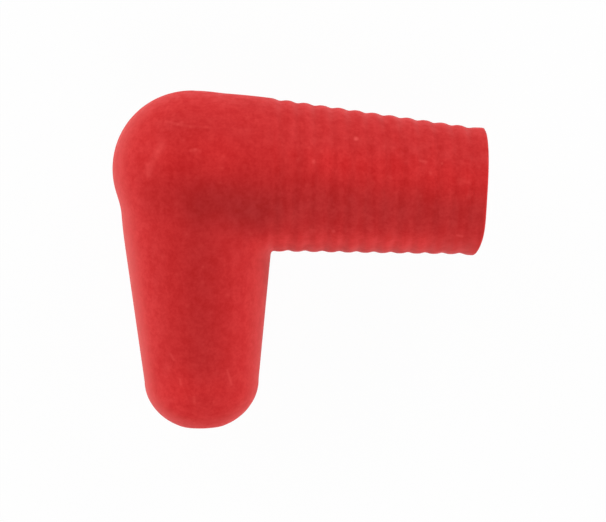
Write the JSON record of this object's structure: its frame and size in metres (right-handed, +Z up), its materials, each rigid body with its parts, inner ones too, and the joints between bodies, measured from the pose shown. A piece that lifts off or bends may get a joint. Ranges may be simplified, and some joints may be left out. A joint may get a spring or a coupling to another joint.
{
  "type": "spark plug cap",
  "caption": "Right-angled moulded rubber spark plug cap with a finely ribbed plug barrel, a round knee and a smooth tapering leg with a domed tip and a lead hole.",
  "frame": {"origin": "on the floor that the cap lies on, below the middle of its box", "axes": "+X towards the plug mouth, -Y towards the domed tip of the leg as seen from above, +Z up as the cap lies on its side"},
  "size_m": [0.0598, 0.0538, 0.0255],
  "materials": {
    "red_rubber": "semi-matt moulded red rubber with a soft sheen"
  },
  "bodies": {
    "root": {"boot": "red_rubber"}
  },
  "joints": []
}
